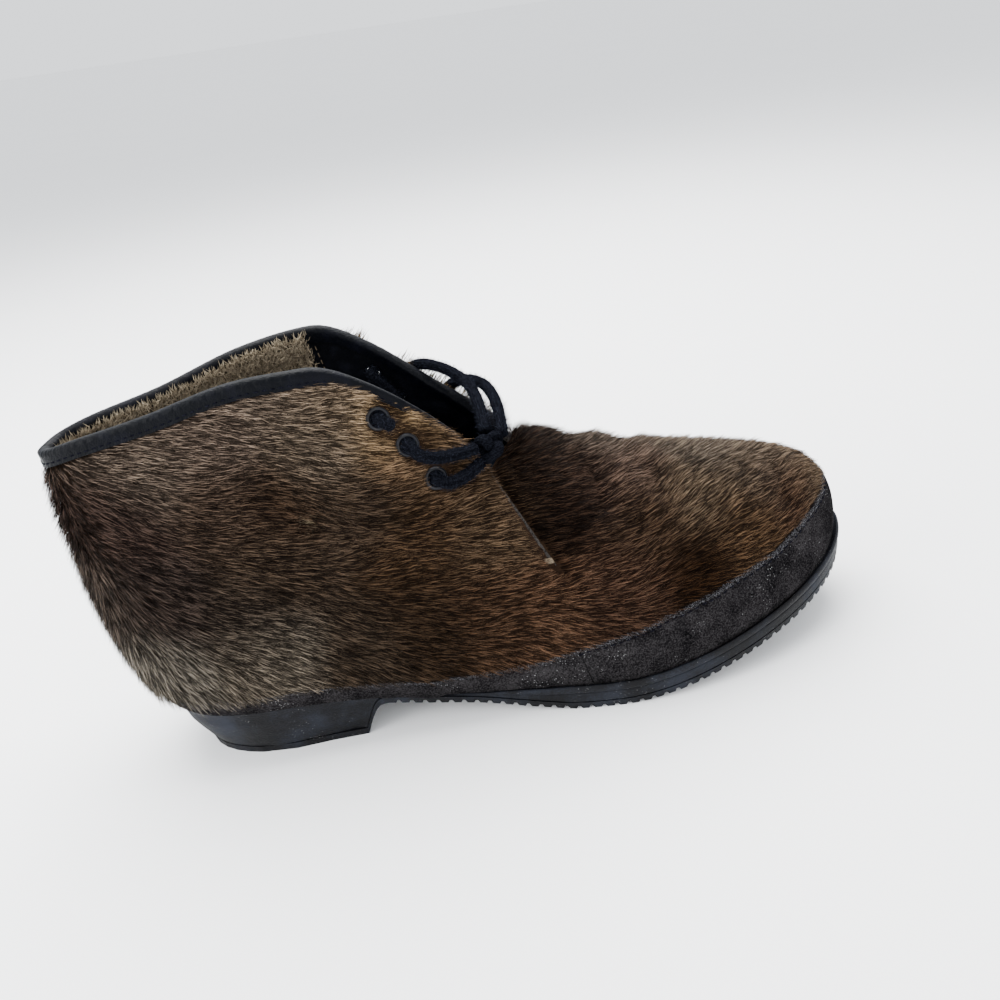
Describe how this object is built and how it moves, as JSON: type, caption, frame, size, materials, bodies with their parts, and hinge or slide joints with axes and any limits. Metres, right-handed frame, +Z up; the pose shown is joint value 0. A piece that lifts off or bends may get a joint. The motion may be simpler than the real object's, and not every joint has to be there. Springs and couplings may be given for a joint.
{
  "type": "chukka boot",
  "caption": "Ankle boot of short-haired hide with open flaps, round eyelets, a tied lace, a suede rand and a moulded rubber sole with a low heel.",
  "frame": {"origin": "centre of the flat under the heel, on the floor that the boot stands on", "axes": "+X from the heel to the toe, +Y to the inner side of the foot, +Z up"},
  "size_m": [0.3019, 0.0956, 0.1513],
  "materials": {
    "brown_hair_hide": "dense short hair, dark brown with pale tips",
    "grey_suede": "worn charcoal suede",
    "black_rubber": "matt moulded rubber, dusty",
    "dark_felt": "woolly felt",
    "navy_leather": "smooth, half gloss",
    "brown_fleece": "short pile",
    "black_lace": "fuzzy round lace",
    "black_enamel": "worn black enamel"
  },
  "bodies": {
    "root": {"outsole": "black_rubber", "midsole": "black_rubber", "insole": "brown_fleece", "upper": "brown_hair_hide", "rand_heel": "grey_suede", "rand_toe": "grey_suede", "tongue": "dark_felt", "collar_binding": "navy_leather", "eyelet_outer_1": "black_enamel", "eyelet_outer_2": "black_enamel", "eyelet_outer_3": "black_enamel", "eyelet_inner_1": "black_enamel", "eyelet_inner_2": "black_enamel", "eyelet_inner_3": "black_enamel", "lace_bar": "black_lace", "lace_inside_outer": "black_lace", "lace_inside_inner": "black_lace", "lace_outside_inner": "black_lace", "lace_run_2": "black_lace", "lace_run_3": "black_lace", "lace_knot": "black_lace", "lace_end_a": "black_lace", "lace_end_b": "black_lace"}
  },
  "joints": []
}
